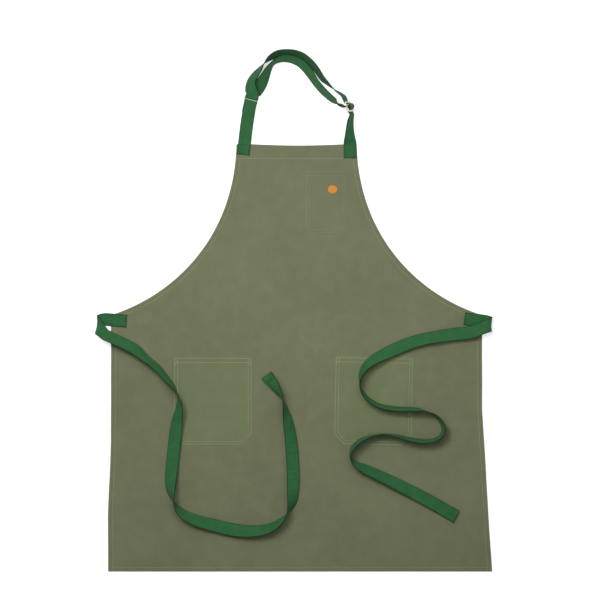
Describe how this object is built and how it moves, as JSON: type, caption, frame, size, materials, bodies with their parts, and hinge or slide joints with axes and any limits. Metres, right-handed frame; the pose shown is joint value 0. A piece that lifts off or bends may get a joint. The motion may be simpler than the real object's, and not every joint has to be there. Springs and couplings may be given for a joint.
{
  "type": "bib apron",
  "caption": "Canvas bib apron with patch pockets, an adjustable webbing neck loop with ring and slider, and two long webbing waist ties, laid flat front up.",
  "frame": {"origin": "middle of the outline without the waist ties, on the surface that the apron lies on", "axes": "+X across the front to the viewer's right; +Y from the hem to the neck loop; +Z out of the front, up from the surface"},
  "size_m": [0.7686, 1.0149, 0.0323],
  "materials": {
    "canvas": "washed olive cotton canvas",
    "pocket_canvas": "washed olive cotton canvas",
    "webbing": "green cotton webbing",
    "hardware": "aged pale brass",
    "embroidery": "satin-stitched thread"
  },
  "bodies": {
    "apron_body": {"main_panel": "canvas", "bib_hem": "canvas", "bottom_hem": "canvas", "armhole_hem_left": "canvas", "armhole_hem_right": "canvas", "side_hem_left": "canvas", "side_hem_right": "canvas", "pocket_left": "pocket_canvas", "pocket_right": "pocket_canvas", "bib_pocket": "pocket_canvas", "emblem": "embroidery", "neck_tab_sewn_end": "webbing", "neck_strap_sewn_end": "webbing", "tie_tab_left": "webbing", "tie_tab_right": "webbing", "tie_curl_left": "webbing", "tie_curl_right": "webbing"},
    "neck_loop": {"neck_tab": "webbing", "neck_strap_turn": "webbing", "neck_strap_outer": "webbing", "neck_strap_over_bar": "webbing", "neck_strap_leg": "webbing", "neck_strap_inner": "webbing", "neck_strap_inner_end": "webbing"},
    "ring": {"neck_ring": "hardware"},
    "slider": {"slider": "hardware", "strap_end_sleeve": "webbing"},
    "tie_left": {"waist_tie_left": "webbing"},
    "tie_right": {"waist_tie_right": "webbing"}
  },
  "joints": [
    {"name": "neck_loop_fold", "type": "hinge", "parent": "apron_body", "child": "neck_loop", "pos_m": [-0.00675, 0.3253, 0.0037], "axis": [1, 0, 0], "range_deg": [0, 145]},
    {"name": "ring_swing", "type": "hinge", "parent": "neck_loop", "child": "ring", "pos_m": [-0.09599, 0.40753, 0.00516], "axis": [0.9703, -0.2419, 0], "range_deg": [-7, 7]},
    {"name": "slider_adjust", "type": "slide", "parent": "neck_loop", "child": "slider", "axis": [0.4067, -0.9135, 0], "range_m": [-0.005, 0.005], "deforming": ["neck_strap_over_bar", "neck_strap_inner_end"]},
    {"name": "tie_left_fold", "type": "hinge", "parent": "apron_body", "child": "tie_left", "pos_m": [-0.38375, -0.026, 0.0109], "axis": [-0.0872, -0.9962, 0], "range_deg": [0, 150], "deforming": ["tie_curl_left"]},
    {"name": "tie_right_fold", "type": "hinge", "parent": "apron_body", "child": "tie_right", "pos_m": [0.36355, -0.0226, 0.0089], "axis": [0.1219, 0.9925, 0], "range_deg": [0, 150], "deforming": ["tie_curl_right"]}
  ]
}
